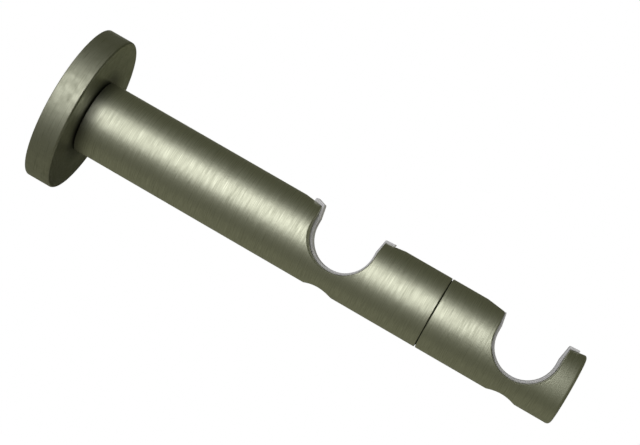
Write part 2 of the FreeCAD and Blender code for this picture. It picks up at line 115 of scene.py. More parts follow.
def remap(tree, value, low, high, to_low, to_high):
    """Adds a Map Range node and returns its output."""
    node = add_node(tree, "ShaderNodeMapRange", {
        "Value": value, "From Min": low, "From Max": high,
        "To Min": to_low, "To Max": to_high})
    return node.outputs["Result"]


def mix_colour(tree, share, first, second):
    """Adds a Mix node for colours and returns its output."""
    node = add_node(tree, "ShaderNodeMix", data_type="RGBA")
    for index, value in ((0, share), (6, first), (7, second)):
        if isinstance(value, bpy.types.NodeSocket):
            tree.links.new(value, node.inputs[index])
        else:
            node.inputs[index].default_value = value
    return node.outputs[2]


def place_and_radius(tree):
    """Object coordinates, their three parts, and the distance from the X axis."""
    coordinate = add_node(tree, "ShaderNodeTexCoord").outputs["Object"]
    split = add_node(tree, "ShaderNodeSeparateXYZ", {"Vector": coordinate})
    across = add_node(tree, "ShaderNodeCombineXYZ",
                      {"Y": split.outputs["Y"], "Z": split.outputs["Z"]})
    radius = add_node(tree, "ShaderNodeVectorMath", {0: across.outputs[0]}, operation="LENGTH")
    return coordinate, split, radius.outputs["Value"]


def new_group(name, inputs, outputs):
    """A shader node group. inputs and outputs are lists of (name, socket type, default)."""
    group = bpy.data.node_groups.new(name, "ShaderNodeTree")
    for socket_name, kind, value in inputs:
        socket = group.interface.new_socket(socket_name, in_out="INPUT", socket_type=kind)
        socket.default_value = value
    for socket_name, kind in outputs:
        group.interface.new_socket(socket_name, in_out="OUTPUT", socket_type=kind)
    return group, group.nodes.new("NodeGroupInput"), group.nodes.new("NodeGroupOutput")


def use_group(tree, group, **values):
    """Places a group in a material, with its own values."""
    node = tree.nodes.new("ShaderNodeGroup")
    node.node_tree = group
    for name, value in values.items():
        node.inputs[name.replace("_", " ")].default_value = value
    return node


def new_material(name):
    """An empty node material with its Principled shader wired to the output."""
    material = bpy.data.materials.new(name)
    material.use_nodes = True
    tree = material.node_tree
    tree.nodes.clear()
    shader = tree.nodes.new("ShaderNodeBsdfPrincipled")
    output = tree.nodes.new("ShaderNodeOutputMaterial")
    tree.links.new(shader.outputs[0], output.inputs["Surface"])
    return material, tree, shader


print("helpers are ready")

# %% [markdown]
# ## Turned grain group
# The bars and the rosette were spun against an abrasive, so their scratches run round the axis:
# rings on the bars, circles on the rosette's face. One coordinate does both, the distance along
# the axis plus the distance from it. Noise that is squeezed hard along that coordinate and
# stretched the other way gives short, broken scratches. A second, softer noise gathers them in
# bands, as a hand-held abrasive does. A few lone scratches stand out, and a plain noise gives
# soft clouds. Each scratch also leans a little to one side, so the group tilts the normal round
# the axis, ring by ring, which frays the edges of a long highlight.

# %% Turned grain group
BAND_WIDTH = 7.0
BAND_LENGTH = 2.5
BAND_SEED, LONE_SEED, LEAN_SEED = 31.0, 83.0, 57.0
CLOUD_SCALE = 420.0
LONE_START, LONE_FULL = 0.62, 0.70

grain_group, grain_in, grain_out = new_group(
    "turned_grain",
    [("Scratch Width", "NodeSocketFloat", 0.00018),
     ("Scratch Length", "NodeSocketFloat", 0.006),
     ("Tilt", "NodeSocketFloat", 0.3)],
    [("Fine", "NodeSocketFloat"), ("Bands", "NodeSocketFloat"), ("Cloud", "NodeSocketFloat"),
     ("Lone", "NodeSocketFloat"), ("Normal", "NodeSocketVector")])


def stretched_noise(tree, ring, along, width, length, seed, detail):
    """Noise with cells that are narrow across the ring coordinate and long along the ring."""
    squeezed = maths(tree, "DIVIDE", ring, width)
    shifted = maths(tree, "ADD", squeezed, seed)
    long_y = maths(tree, "DIVIDE", along.outputs["Y"], length)
    long_z = maths(tree, "DIVIDE", along.outputs["Z"], length)
    place = add_node(tree, "ShaderNodeCombineXYZ", {"X": shifted, "Y": long_y, "Z": long_z})
    noise = add_node(tree, "ShaderNodeTexNoise", {
        "Vector": place.outputs[0], "Scale": 1.0, "Detail": detail, "Roughness": 0.6})
    return noise.outputs["Fac"]


coordinate, parts, radius = place_and_radius(grain_group)
ring = maths(grain_group, "ADD", parts.outputs["X"], radius)
fine = stretched_noise(grain_group, ring, parts, grain_in.outputs["Scratch Width"],
                       grain_in.outputs["Scratch Length"], 0.0, 1.5)
band_width = maths(grain_group, "MULTIPLY", grain_in.outputs["Scratch Width"], BAND_WIDTH)
band_length = maths(grain_group, "MULTIPLY", grain_in.outputs["Scratch Length"],
                    BAND_LENGTH)
bands = stretched_noise(grain_group, ring, parts, band_width, band_length, BAND_SEED, 2.0)
cloud = add_node(grain_group, "ShaderNodeTexNoise", {
    "Vector": coordinate, "Scale": CLOUD_SCALE, "Detail": 3.0})
lone = stretched_noise(grain_group, ring, parts, grain_in.outputs["Scratch Width"],
                       band_length, LONE_SEED, 1.0)
lone_mask = remap(grain_group, lone, LONE_START, LONE_FULL, 0.0, 1.0)
lean = stretched_noise(grain_group, ring, parts, grain_in.outputs["Scratch Width"],
                       band_length, LEAN_SEED, 2.0)
lean_amount = maths(grain_group, "MULTIPLY", maths(grain_group, "SUBTRACT", lean, 0.5),
                    grain_in.outputs["Tilt"])
geometry = add_node(grain_group, "ShaderNodeNewGeometry")
axis = add_node(grain_group, "ShaderNodeVectorTransform", {"Vector": (1.0, 0.0, 0.0)},
                vector_type="VECTOR", convert_from="OBJECT", convert_to="WORLD")
around = add_node(grain_group, "ShaderNodeVectorMath", {
    0: axis.outputs[0], 1: geometry.outputs["Normal"]}, operation="CROSS_PRODUCT")
leaning = add_node(grain_group, "ShaderNodeVectorMath", {
    0: around.outputs[0], 1: lean_amount, 2: geometry.outputs["Normal"]},
    operation="MULTIPLY_ADD")
unit = add_node(grain_group, "ShaderNodeVectorMath", {0: leaning.outputs[0]},
                operation="NORMALIZE")
for output_name, socket in (("Fine", fine), ("Bands", bands), ("Cloud", cloud.outputs["Fac"]),
                            ("Lone", lone_mask), ("Normal", unit.outputs[0])):
    grain_group.links.new(socket, grain_out.inputs[output_name])
print("group:", grain_group.name, [item.name for item in grain_group.interface.items_tree])

# %% [markdown]
# ## Painted corner shade
# The colour is painted darker in the corner where the bar stands on the rosette, as painted
# shade. The group measures how far a point is from the circle in that corner, and its
# shade rises from 0 to 1 within a short reach. The bars and the rosette's face both use it.

# %% Corner group
corner_shade_group, corner_in, corner_out = new_group(
    "painted_corner_shade",
    [("Place", "NodeSocketFloat", 0.009),
     ("Radius", "NodeSocketFloat", 0.0125),
     ("Reach", "NodeSocketFloat", 0.005)],
    [("Shade", "NodeSocketFloat")])
coordinate, parts, radius = place_and_radius(corner_shade_group)
along_gap = maths(corner_shade_group, "SUBTRACT", parts.outputs["X"], corner_in.outputs["Place"])
out_gap = maths(corner_shade_group, "SUBTRACT", radius, corner_in.outputs["Radius"])
gap_vector = add_node(corner_shade_group, "ShaderNodeCombineXYZ", {"X": along_gap, "Y": out_gap})
gap_length = add_node(corner_shade_group, "ShaderNodeVectorMath", {0: gap_vector.outputs[0]},
                      operation="LENGTH")
gap_share = maths(corner_shade_group, "DIVIDE", gap_length.outputs["Value"],
                  corner_in.outputs["Reach"], clamp=True)
soft_shade = add_node(corner_shade_group, "ShaderNodeMapRange", {"Value": gap_share},
                      interpolation_type="SMOOTHSTEP")
corner_shade_group.links.new(soft_shade.outputs["Result"], corner_out.inputs["Shade"])
print("group:", corner_shade_group.name, [item.name for item in corner_shade_group.interface.items_tree])

# %% [markdown]
# ## Satin metal
# A brushed nickel look is a metal with a warm grey base colour, a middling roughness and a very
# fine bump. The scratches change the base colour and the roughness a little as well, because
# each scratch holds some dark polish and spreads the light more. The rosette is duller and darker
# than the bars. Its face is a little glossier than its rim and has a darker copy of the colour,
# which is painted shade. The colour is also painted darker near the corner where the bar stands
# on the rosette, as painted shade.

# %% Satin metal
NICKEL_LIGHT = (0.73, 0.74, 0.61)
NICKEL_DARK = (0.50, 0.51, 0.40)
ROUGH_SPREAD = 0.10
SCRATCH_DEPTH = 0.02 * MM
LONE_SHARE = 0.6
CORNER_PLACE = 8.8 * MM
CORNER_RADIUS = 12.5 * MM
CORNER_REACH = 6.5 * MM
CORNER_SHADE_TONE = 0.37


def satin_metal(name, tone, rough, scratches, shares, contrast, bump):
    """A turned and brushed metal. tone scales its colour, rough is the middle of its roughness,
    scratches are their width, length and tilt, and shares tell how much fine scratches, bands
    and clouds count. contrast is how strongly they change the colour, and bump how deep they
    look."""
    material, tree, shader = new_material(name)
    dark = tuple(tone * channel for channel in NICKEL_DARK) + (1.0,)
    bright = tuple(tone * channel for channel in NICKEL_LIGHT) + (1.0,)
    width, length, tilt = scratches
    grain = use_group(tree, grain_group, Scratch_Width=width, Scratch_Length=length, Tilt=tilt)
    wear = maths(tree, "MULTIPLY", grain.outputs["Fine"], shares[0])
    for output_name, share in (("Bands", shares[1]), ("Cloud", shares[2])):
        wear = maths(tree, "ADD", wear, maths(tree, "MULTIPLY", grain.outputs[output_name], share))
    light = remap(tree, wear, 0.5 - 0.5 / contrast, 0.5 + 0.5 / contrast, 0.0, 1.0)
    lone = maths(tree, "MULTIPLY", grain.outputs["Lone"], LONE_SHARE)
    light = maths(tree, "SUBTRACT", light, lone, clamp=True)
    polished = mix_colour(tree, light, dark, bright)
    # painted shade: the colour darkens towards the corner where the bar stands on the rosette
    corner = use_group(tree, corner_shade_group, Place=CORNER_PLACE, Radius=CORNER_RADIUS,
                       Reach=CORNER_REACH)
    corner_shade_colour = tuple(CORNER_SHADE_TONE * channel for channel in bright[:3]) + (1.0,)
    tree.links.new(mix_colour(tree, corner.outputs["Shade"], corner_shade_colour, polished),
                   shader.inputs["Base Color"])
    roughness = remap(tree, wear, 0.3, 0.7, rough + ROUGH_SPREAD, rough - ROUGH_SPREAD)
    tree.links.new(roughness, shader.inputs["Roughness"])
    shader.inputs["Metallic"].default_value = 1.0
    height = add_node(tree, "ShaderNodeBump", {
        "Strength": bump, "Distance": SCRATCH_DEPTH, "Height": grain.outputs["Fine"],
        "Normal": grain.outputs["Normal"]})
    tree.links.new(height.outputs[0], shader.inputs["Normal"])
    return material


BAR_SCRATCHES = (0.15 * MM, 5.5 * MM, 0.25)
BAR_SHARES = (0.8, 0.1, 0.1)
ROSETTE_SCRATCHES = (0.3 * MM, 4.0 * MM, 0.1)
ROSETTE_SHARES = (0.25, 0.25, 0.5)
satin_bar = satin_metal("satin_bar", 1.0, 0.47, BAR_SCRATCHES, BAR_SHARES, 2.2, 0.55)
satin_rosette = satin_metal("satin_rosette", 0.77, 0.52, ROSETTE_SCRATCHES, ROSETTE_SHARES,
                            1.6, 0.3)
# painted shade: a darker copy of the rosette's metal for its face and the outer half of its round
satin_face_painted_shade = satin_metal("satin_face_painted_shade", 0.65, 0.40, ROSETTE_SCRATCHES, ROSETTE_SHARES, 1.6, 0.3)
print("materials:", satin_bar.name, satin_rosette.name, satin_face_painted_shade.name)

# %% [markdown]
# ## Liner plastic
# The liners are a light grey moulded plastic, a little translucent at thin edges, with the faint
# texture that a mould leaves.

# %% Liner plastic
def moulded_plastic(name, colour, rough):
    """A moulded plastic with a fine, even texture."""
    material, tree, shader = new_material(name)
    place = add_node(tree, "ShaderNodeTexCoord")
    speckle = add_node(tree, "ShaderNodeTexNoise", {
        "Vector": place.outputs["Object"], "Scale": 3500.0, "Detail": 2.0})
    cloud = add_node(tree, "ShaderNodeTexNoise", {
        "Vector": place.outputs["Object"], "Scale": 180.0, "Detail": 3.0})
    darker = tuple(0.86 * channel for channel in colour[:3]) + (1.0,)
    tint = mix_colour(tree, cloud.outputs["Fac"], darker, colour)
    tree.links.new(tint, shader.inputs["Base Color"])
    shader.inputs["Subsurface Weight"].default_value = 0.4
    shader.inputs["Subsurface Radius"].default_value = (1.0, 1.0, 1.0)
    shader.inputs["Subsurface Scale"].default_value = 0.0012
    roughness = remap(tree, speckle.outputs["Fac"], 0.3, 0.7, rough - 0.06, rough + 0.06)
    tree.links.new(roughness, shader.inputs["Roughness"])
    height = add_node(tree, "ShaderNodeBump", {
        "Strength": 0.25, "Distance": 0.00003, "Height": speckle.outputs["Fac"]})
    tree.links.new(height.outputs[0], shader.inputs["Normal"])
    return material


liner_grey = moulded_plastic("liner_grey", (0.52, 0.515, 0.52, 1.0), 0.42)
print("material:", liner_grey.name)

# %% [markdown]
# ## Zinc plate and screws
# What the rosette hides is plainer: a zinc plated disc with the faint cloudy bloom of plating,
# and screws with a darker, oiled finish. The narrow recesses at the joint and behind the bar's
# shoulder are painted almost black, as painted shade.

# %% Plated metals
def plated_metal(name, light, dark, rough, cloud_scale):
    """A plated steel whose colour and gloss drift slowly over the surface."""
    material, tree, shader = new_material(name)
    place = add_node(tree, "ShaderNodeTexCoord")
    cloud = add_node(tree, "ShaderNodeTexNoise", {
        "Vector": place.outputs["Object"], "Scale": cloud_scale, "Detail": 5.0,
        "Roughness": 0.65})
    share = remap(tree, cloud.outputs["Fac"], 0.35, 0.65, 0.0, 1.0)
    tree.links.new(mix_colour(tree, share, dark, light), shader.inputs["Base Color"])
    roughness = remap(tree, cloud.outputs["Fac"], 0.3, 0.7, rough + 0.08, rough - 0.05)
    tree.links.new(roughness, shader.inputs["Roughness"])
    shader.inputs["Metallic"].default_value = 1.0
    height = add_node(tree, "ShaderNodeBump", {
        "Strength": 0.2, "Distance": 0.00004, "Height": cloud.outputs["Fac"]})
    tree.links.new(height.outputs[0], shader.inputs["Normal"])
    return material


zinc = plated_metal("zinc", (0.70, 0.72, 0.74, 1.0), (0.55, 0.58, 0.61, 1.0), 0.34, 350.0)
screw_metal = plated_metal("screw_metal", (0.30, 0.30, 0.31, 1.0), (0.20, 0.20, 0.21, 1.0),
                           0.30, 900.0)
# painted shade: a near-black metal for the recesses at the joint and behind the shoulder
recess_painted_shade = plated_metal("recess_painted_shade", (0.05, 0.05, 0.045, 1.0), (0.03, 0.03, 0.025, 1.0),
                           0.60, 900.0)
print("materials:", zinc.name, screw_metal.name, recess_painted_shade.name)

# %% [markdown]
# ## Sizes for the new pieces
# The bars, the rosette and the liners get new meshes, with the fine rounds that catch light. Their
# main sizes are read from the frame, and the small ones are named here in millimetres.

# %% Sizes for the new pieces
def box_mm(node_name):
    """A CAD node's lowest and highest corners, in millimetres."""
    low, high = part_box(node_name)
    return [value / MM for value in low], [value / MM for value in high]


rear_low, rear_high = box_mm("rear_arm")
BAR_START, JOINT, BAR_R = rear_low[0], rear_high[0], rear_high[1]
TIP = box_mm("front_arm")[1][0]
ROSETTE_FACE, ROSETTE_R = box_mm("rosette")[1][:2]
rear_screw_low, rear_screw_high = box_mm("rear_lock_screw")
front_screw_low, front_screw_high = box_mm("front_lock_screw")
REAR_POLE = (rear_screw_low[0] + rear_screw_high[0]) / 2
FRONT_POLE = (front_screw_low[0] + front_screw_high[0]) / 2
liner_low, liner_high = box_mm("rear_liner")
LINER_WIDTH = liner_high[1] - liner_low[1]

POLE_R = 10.4
LINER_SIDE = 0.95
LINER_FLOOR = 0.8
LINER_GAP = 0.05
LINER_R = POLE_R + LINER_SIDE
SLOT_R = LINER_R + LINER_GAP
SLOT_FLARE = 0.35
RAMP_LENGTH = 6.7
RAMP_FALL = 0.9
MOUTH_R = SLOT_R + SLOT_FLARE
MOUTH_HEIGHT = BAR_R - RAMP_FALL
FLARE_START = 2.0
REAR_POLE_HEIGHT = liner_low[2] + LINER_FLOOR + POLE_R
FRONT_POLE_HEIGHT = box_mm("front_liner")[0][2] + LINER_FLOOR + POLE_R
print("bars, mm:", [round(value, 2) for value in (BAR_START, JOINT, TIP, BAR_R)])
print("poles, mm:", [round(value, 2) for value in
                     (REAR_POLE, REAR_POLE_HEIGHT, FRONT_POLE, FRONT_POLE_HEIGHT)])

# %% [markdown]
# ## Turned pieces
# A turned piece is half a profile, the place along the axis and the distance from it, spun a full
# turn. Its rounded edges are short arcs in the profile, so they are true rounds. Holes are cut
# afterwards with a Boolean modifier. The cutters are turned pieces too, and are thrown away.

# %% Helpers for pieces
TURN_STEPS = 224
GRUB_HOLE_STEPS = 48
LINER_HOLE_STEPS = 64
LOCK_HOLE_STEPS = 96
LOOP_SPACING = 4.0
SHARP_ANGLE = math.radians(10.0)


def arc(x, y, radius, start, end, steps):
    """Points of an arc about (x, y), from one angle to another in degrees."""
    points = []
    for step in range(steps + 1):
        angle = math.radians(start + (end - start) * step / steps)
        points.append((x + radius * math.cos(angle), y + radius * math.sin(angle)))
    return points


def along_bar(start, end):
    """Points of a straight stretch of the bar, close together so that shading stays local."""
    count = round((end - start) / LOOP_SPACING)
    return [(start + (end - start) * step / count, BAR_R) for step in range(1, count)]


def mesh_object(name, shape):
    """Turns a bmesh in millimetres into an object at the origin, with its normals outside."""
    bmesh.ops.remove_doubles(shape, verts=shape.verts, dist=1e-4)
    bmesh.ops.recalc_face_normals(shape, faces=shape.faces)
    bmesh.ops.scale(shape, vec=(MM, MM, MM), verts=shape.verts)
    mesh = bpy.data.meshes.new(name)
    shape.to_mesh(mesh)
    shape.free()
    piece = bpy.data.objects.new(name, mesh)
    bpy.context.scene.collection.objects.link(piece)
    return piece


def turned(name, profile, closed=False, steps=TURN_STEPS, place=None):
    """Spins a profile of (x, radius) about the X axis. place is a matrix that moves it after."""
    shape = bmesh.new()
    corners = [shape.verts.new((x, 0.0, radius)) for x, radius in profile]
    edges = [shape.edges.new(pair) for pair in zip(corners, corners[1:])]
    if closed:
        edges.append(shape.edges.new((corners[-1], corners[0])))
    bmesh.ops.spin(shape, geom=corners + edges, cent=(0, 0, 0), axis=(1, 0, 0),
                   angle=math.tau, steps=steps, use_merge=True)
    if place is not None:
        bmesh.ops.transform(shape, matrix=place, verts=shape.verts)
    return mesh_object(name, shape)


def drilled_at(reach):
    """The matrix that points a turned cutter straight down, at a place along the bar."""
    return Matrix.Translation((reach, 0, 0)) @ Matrix.Rotation(math.radians(90), 4, "Y")


def cut(piece, cutters):
    """Cuts each cutter out of a piece, then throws the cutters away."""
    for cutter in cutters:
        modifier = piece.modifiers.new(cutter.name, "BOOLEAN")
        modifier.operation = "DIFFERENCE"
        modifier.solver = "EXACT"
        modifier.object = cutter
    graph = bpy.context.evaluated_depsgraph_get()
    result = bpy.data.meshes.new_from_object(piece.evaluated_get(graph))
    result.name = piece.name
    piece.modifiers.clear()
    piece.data = result
    for cutter in cutters:
        bpy.data.objects.remove(cutter)


def finish_piece(piece, material, slot, *nodes, second=None, where=None):
    """Smooth shading with crisp corners, a finish, and the nodes that the piece stands for.
    where is a test of a face's place along the bar and distance from its axis, in millimetres,
    for the faces that get the second finish."""
    piece.data.materials.clear()
    piece.data.materials.append(material)
    if second is not None:
        piece.data.materials.append(second)
        for face in piece.data.polygons:
            distance = math.hypot(face.center.y, face.center.z)
            face.material_index = int(where(face.center.x / MM, distance / MM))
    piece.data.polygons.foreach_set("use_smooth", [True] * len(piece.data.polygons))
    piece.data.set_sharp_from_angle(angle=SHARP_ANGLE)
    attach(piece, "root")
    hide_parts(*nodes)
    print(piece.name, "faces:", len(piece.data.polygons))


print("helpers for pieces are ready")

# %% [markdown]
# ## Rosette
# A cup with a rounded front edge. Its face has the shallow recess that the bar's neck stands in,
# which shows as a dark ring, partly a real gap and partly the neck's painted shade, and its rim
# has the small hole of the grub screw underneath. The face and the outer half of the round take a
# darker copy of the rosette's metal, which is painted shade.

# %% Rosette
ROSETTE_ROUND = 0.8
ROSETTE_BACK_ROUND = 0.3
ROSETTE_WALL = 3.7
FACE_THICKNESS = 4.0
SHADED_FACE_DEPTH = 0.5
CAVITY_R = ROSETTE_R - ROSETTE_WALL
CAVITY_DEPTH = ROSETTE_FACE - FACE_THICKNESS
REGISTER_R = 10.2
REGISTER_EDGE = 0.15
SCREW_PASSAGE_R = 3.3
GRUB_X = 2.25
GRUB_HOLE_R = 2.05
GRUB_HOLE_START, GRUB_HOLE_END = CAVITY_R - 2.0, ROSETTE_R + 1.0

rosette_profile = [
    (0.0, CAVITY_R),
    (CAVITY_DEPTH, CAVITY_R),
    (CAVITY_DEPTH, SCREW_PASSAGE_R),
    (BAR_START, SCREW_PASSAGE_R),
    (BAR_START, REGISTER_R),
    *arc(ROSETTE_FACE - REGISTER_EDGE, REGISTER_R + REGISTER_EDGE, REGISTER_EDGE, 270, 360, 10),
    *arc(ROSETTE_FACE - ROSETTE_ROUND, ROSETTE_R - ROSETTE_ROUND, ROSETTE_ROUND, 0, 90, 12),
    *arc(ROSETTE_BACK_ROUND, ROSETTE_R - ROSETTE_BACK_ROUND, ROSETTE_BACK_ROUND, 90, 180, 10),
]
rosette_piece = turned("rosette_body", rosette_profile, closed=True)
grub_cutter = turned("grub_hole", [
    (GRUB_HOLE_START, 0.0), (GRUB_HOLE_START, GRUB_HOLE_R), (GRUB_HOLE_END, GRUB_HOLE_R),
    (GRUB_HOLE_END, 0.0)], steps=GRUB_HOLE_STEPS, place=drilled_at(GRUB_X))
cut(rosette_piece, [grub_cutter])
# painted shade: the face and the outer half of the round get the darker copy
finish_piece(rosette_piece, satin_rosette, "satin_steel", "rosette",
             second=satin_face_painted_shade, where=lambda x, r: x > ROSETTE_FACE - SHADED_FACE_DEPTH)

# %% [markdown]
# ## Saddles
# A slot with a round floor runs across each bar. The mill leaves a hard edge where the slot meets
# the bar's round, and finishing softens it, so the cutter here widens by a quarter round just
# before it leaves the metal. The crest slopes down to both sides of the mouth.

# %% Saddle cutter
SLOT_EDGE_ROUND = 0.35
MOUTH_CORNER = 0.3
EDGE_STEPS = 4
FLOOR_STEPS = 72
ABOVE = BAR_R + 4.0
BESIDE = BAR_R + 2.0


def slot_outline(seat_height, lean_start):
    """Points (x, z) round the right half of the slot, from the middle of its floor to above its
    mouth, each with how much of the soft edge it gets."""
    points = [(x, z, 1.0) for x, z in arc(0.0, seat_height, SLOT_R, 270, 360, FLOOR_STEPS // 2)]
    for share in (0.3, 0.6, 1.0):
        points.append((SLOT_R, seat_height + (lean_start - seat_height) * share, 1.0))
    for share in (0.25, 0.5, 0.75):
        points.append((SLOT_R + SLOT_FLARE * share,
                       lean_start + (MOUTH_HEIGHT - lean_start) * share, 1.0))
    ramp_slope = RAMP_FALL / RAMP_LENGTH
    points.append((MOUTH_R - 0.03, MOUTH_HEIGHT - MOUTH_CORNER, 1.0))
    points.append((MOUTH_R + 0.3 * MOUTH_CORNER, MOUTH_HEIGHT - 0.25 * MOUTH_CORNER, 0.6))
    points.append((MOUTH_R + MOUTH_CORNER, MOUTH_HEIGHT + MOUTH_CORNER * ramp_slope, 0.3))
    points.append((MOUTH_R + 1.5, MOUTH_HEIGHT + 1.5 * ramp_slope, 0.0))
    points.append((MOUTH_R + RAMP_LENGTH + 1.0, BAR_R + ramp_slope, 0.0))
    points.append((MOUTH_R + RAMP_LENGTH + 1.0, ABOVE, 0.0))
    return points


def saddle_cutter(name, reach, pole_height):
    """A solid with the shape of everything that is milled away for one pole."""
    seat_height = pole_height - POLE_R - LINER_FLOOR - LINER_GAP + SLOT_R
    right = slot_outline(seat_height, pole_height + FLARE_START)
    left = [(-x, z, soft) for x, z, soft in reversed(right[1:])]
    outline = left + right
    shape = bmesh.new()
    columns = []
    for index, (x, z, soft) in enumerate(outline):
        before = outline[max(index - 1, 0)]
        after = outline[min(index + 1, len(outline) - 1)]
        along = Vector((after[0] - before[0], after[1] - before[1])).normalized()
        outward = Vector((along.y, -along.x)) * SLOT_EDGE_ROUND * soft
        surface = math.sqrt(max(BAR_R ** 2 - z ** 2, 1.0))
        half = []
        for step in range(EDGE_STEPS + 1):
            angle = math.radians(90 * step / EDGE_STEPS)
            widen = 1 - math.cos(angle)
            half.append((surface - SLOT_EDGE_ROUND * (1 - math.sin(angle)), widen))
        half.append((BESIDE, 1.0))
        levels = [(-y, widen) for y, widen in reversed(half)] + half
        columns.append([shape.verts.new((reach + x + outward.x * widen, y, z + outward.y * widen))
                        for y, widen in levels])
    for first, second in zip(columns, columns[1:] + columns[:1]):
        for row in range(len(first) - 1):
            shape.faces.new((first[row], second[row], second[row + 1], first[row + 1]))
    shape.faces.new([column[0] for column in columns])
    shape.faces.new([column[-1] for column in columns])
    return mesh_object(name, shape)


COUNTERBORE_R = 5.25
COUNTERBORE_DEPTH = 2.6
LOCK_HOLE_R = 2.55


def lock_hole_cutter(name, reach):
    """The stepped hole of a locking screw, drilled up into the slot from below."""
    deep = BAR_R - COUNTERBORE_DEPTH
    profile = [
        (0.0, 0.0), (0.0, LOCK_HOLE_R), (deep, LOCK_HOLE_R), (deep, COUNTERBORE_R),
        (BESIDE, COUNTERBORE_R), (BESIDE, 0.0)]
    return turned(name, profile, steps=LOCK_HOLE_STEPS, place=drilled_at(reach))


print("edge round of the saddles, mm:", SLOT_EDGE_ROUND)

# %% [markdown]
# ## Bars
# The rear bar stands on a neck and has a hole in each end, for a screw and for the stud that
# joins the bars. The front bar has a narrow land that meets the rear bar, so a dark line shows at
# the joint, and its tip is rounded. The neck, the land and the faces beside them are painted
# almost black, as painted shade.

# %% Bars
NECK_R = 10.0
NECK_SHOW = 0.35
SHOULDER = ROSETTE_FACE + NECK_SHOW
BAR_EDGE = 0.25
JOINT_EDGE = 0.3
JOINT_GAP = 0.3
JOINT_DEPTH = 0.8
JOINT_LAND_R = BAR_R - JOINT_DEPTH
TIP_ROUND = 1.3
STUD_BORE_R = 4.05
STUD_BORE_DEPTH = 12.5
SCREW_BORE_R = 3.05
SCREW_BORE_DEPTH = 12.7
DRILL_POINT = 0.6
FACE_MARGIN = 0.01
REAR_RECESS_RIM = 0.3
FRONT_RECESS_RIM = 0.2

rear_profile = [
    (BAR_START + SCREW_BORE_DEPTH + DRILL_POINT * SCREW_BORE_R, 0.0),
    (BAR_START + SCREW_BORE_DEPTH, SCREW_BORE_R),
    (BAR_START, SCREW_BORE_R),
    (BAR_START, NECK_R),
    (SHOULDER, NECK_R),
    *arc(SHOULDER + BAR_EDGE, BAR_R - BAR_EDGE, BAR_EDGE, 180, 90, 10),
    *along_bar(SHOULDER + BAR_EDGE, JOINT - BAR_EDGE),
    *arc(JOINT - BAR_EDGE, BAR_R - BAR_EDGE, BAR_EDGE, 90, 0, 10),
    (JOINT, STUD_BORE_R),
    (JOINT - STUD_BORE_DEPTH, STUD_BORE_R),
    (JOINT - STUD_BORE_DEPTH - DRILL_POINT * STUD_BORE_R, 0.0),
]
rear_bar = turned("rear_bar", rear_profile)
cut(rear_bar, [saddle_cutter("rear_saddle", REAR_POLE, REAR_POLE_HEIGHT),
               lock_hole_cutter("rear_lock_hole", REAR_POLE)])
# painted shade: the neck, the shoulder's face and the end at the joint are painted near black
finish_piece(rear_bar, satin_bar, "satin_steel", "rear_arm",
             second=recess_painted_shade,
             where=lambda x, r: (x < SHOULDER + FACE_MARGIN or x > JOINT - FACE_MARGIN)
             and r < BAR_R - REAR_RECESS_RIM)

front_profile = [
    (JOINT + STUD_BORE_DEPTH + DRILL_POINT * STUD_BORE_R, 0.0),
    (JOINT + STUD_BORE_DEPTH, STUD_BORE_R),
    (JOINT, STUD_BORE_R),
    (JOINT, JOINT_LAND_R),
    (JOINT + JOINT_GAP, JOINT_LAND_R),
    *arc(JOINT + JOINT_GAP + JOINT_EDGE, BAR_R - JOINT_EDGE, JOINT_EDGE, 180, 90, 10),
    *along_bar(JOINT + JOINT_GAP + JOINT_EDGE, TIP - TIP_ROUND),
    *arc(TIP - TIP_ROUND, BAR_R - TIP_ROUND, TIP_ROUND, 90, 0, 12),
    (TIP, 0.0),
]
front_bar = turned("front_bar", front_profile)
cut(front_bar, [saddle_cutter("front_saddle", FRONT_POLE, FRONT_POLE_HEIGHT),
                lock_hole_cutter("front_lock_hole", FRONT_POLE)])
# painted shade: the land and the face at the joint are painted near black
finish_piece(front_bar, satin_bar, "satin_steel", "front_arm",
             second=recess_painted_shade,
             where=lambda x, r: x < JOINT + JOINT_GAP + FACE_MARGIN
             and r < BAR_R - FRONT_RECESS_RIM)

# %% [markdown]
# ## Liners
# A liner is one strip of plastic bent round the pole's bed. Its section is drawn about the pole's
# axis, extruded along the pole, and its long edges are bevelled, as a mould would leave them.

# %% Liners
FLARE = 0.8
LIP_REACH = 3.0
LIP_THICKNESS = 0.95
LIP_CORNER = 0.5
END_CORNER = 0.15
KNOB_FOOT = 0.2
KNOB_LENGTH = 1.2
KNOB_HEIGHT = 0.35
LINER_HOLE_R = 2.7
LINER_EDGE = 0.18
BED_STEPS = 64


